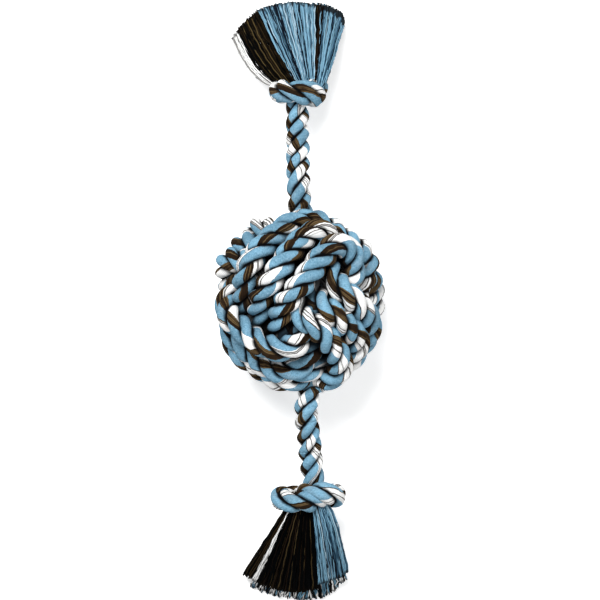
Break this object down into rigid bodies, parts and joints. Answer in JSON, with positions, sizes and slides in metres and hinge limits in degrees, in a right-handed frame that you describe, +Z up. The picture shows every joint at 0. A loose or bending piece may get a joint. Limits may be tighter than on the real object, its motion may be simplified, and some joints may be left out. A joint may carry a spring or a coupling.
{
  "type": "rope dog toy",
  "caption": "Tug toy of thick laid cotton rope: a tied ball of crossing turns with a leg, an overhand knot and a frayed tassel at each end.",
  "frame": {"origin": "on the surface the toy lies on, under the middle of the whole toy", "axes": "+Y along the toy towards its upper tassel, +X to the right seen from above, +Z up"},
  "size_m": [0.132, 0.459, 0.1357],
  "materials": {
    "rope": "three-strand cotton rope, blue, brown and white",
    "blue_yarn": "loose light blue cotton yarn",
    "brown_yarn": "loose dark brown cotton yarn",
    "white_yarn": "loose white cotton yarn",
    "core": "wadded cotton"
  },
  "bodies": {
    "ball": {"ball_winding": "rope", "core_wad": "core"},
    "upper_leg_root": {"upper_leg_root": "rope"},
    "upper_leg": {"upper_leg": "rope"},
    "upper_knot": {"upper_knot": "rope"},
    "upper_tassel": {"upper_tassel_blue_lock_right": "blue_yarn", "upper_tassel_brown_stripe_lock": "brown_yarn", "upper_tassel_blue_lock_middle": "blue_yarn", "upper_tassel_brown_lock": "brown_yarn", "upper_tassel_white_lock": "white_yarn", "upper_tassel_blue_back_lock": "blue_yarn", "upper_tassel_brown_back_lock": "brown_yarn", "upper_tassel_white_back_lock": "white_yarn"},
    "lower_leg_root": {"lower_leg_root": "rope"},
    "lower_leg": {"lower_leg": "rope"},
    "lower_knot": {"lower_knot": "rope"},
    "lower_tassel": {"lower_tassel_brown_edge_lock": "brown_yarn", "lower_tassel_white_lock": "white_yarn", "lower_tassel_brown_lock": "brown_yarn", "lower_tassel_blue_lock": "blue_yarn", "lower_tassel_white_back_lock": "white_yarn", "lower_tassel_blue_back_lock": "blue_yarn", "lower_tassel_brown_back_lock": "brown_yarn"}
  },
  "joints": [
    {"name": "upper_leg_lift", "type": "hinge", "parent": "ball", "child": "upper_leg_root", "pos_m": [-0.00106, 0.08521, 0.07215], "axis": [1, 0, 0], "range_deg": [-50, 60]},
    {"name": "upper_leg_sway", "type": "hinge", "parent": "upper_leg_root", "child": "upper_leg", "pos_m": [-0.00135, 0.10926, 0.06353], "axis": [0, 0.3374, 0.9414], "range_deg": [-50, 50]},
    {"name": "upper_knot_nod", "type": "hinge", "parent": "upper_leg", "child": "upper_knot", "pos_m": [-0.00171, 0.13941, 0.05273], "axis": [1, 0, 0], "range_deg": [-35, 30]},
    {"name": "upper_tassel_sway", "type": "hinge", "parent": "upper_knot", "child": "upper_tassel", "pos_m": [-0.00171, 0.17856, 0.04462], "axis": [0, 0, 1], "range_deg": [-30, 30]},
    {"name": "lower_leg_lift", "type": "hinge", "parent": "ball", "child": "lower_leg_root", "pos_m": [0.00345, -0.08141, 0.07426], "axis": [-1, 0, 0], "range_deg": [-50, 60]},
    {"name": "lower_leg_sway", "type": "hinge", "parent": "lower_leg_root", "child": "lower_leg", "pos_m": [0.00671, -0.10385, 0.06249], "axis": [0, -0.4643, 0.8857], "range_deg": [-50, 50]},
    {"name": "lower_knot_nod", "type": "hinge", "parent": "lower_leg", "child": "lower_knot", "pos_m": [0.01072, -0.13149, 0.048], "axis": [-1, 0, 0], "range_deg": [-35, 30]},
    {"name": "lower_tassel_sway", "type": "hinge", "parent": "lower_knot", "child": "lower_tassel", "pos_m": [0.00262, -0.17064, 0.048], "axis": [0, 0, 1], "range_deg": [-30, 30]}
  ]
}
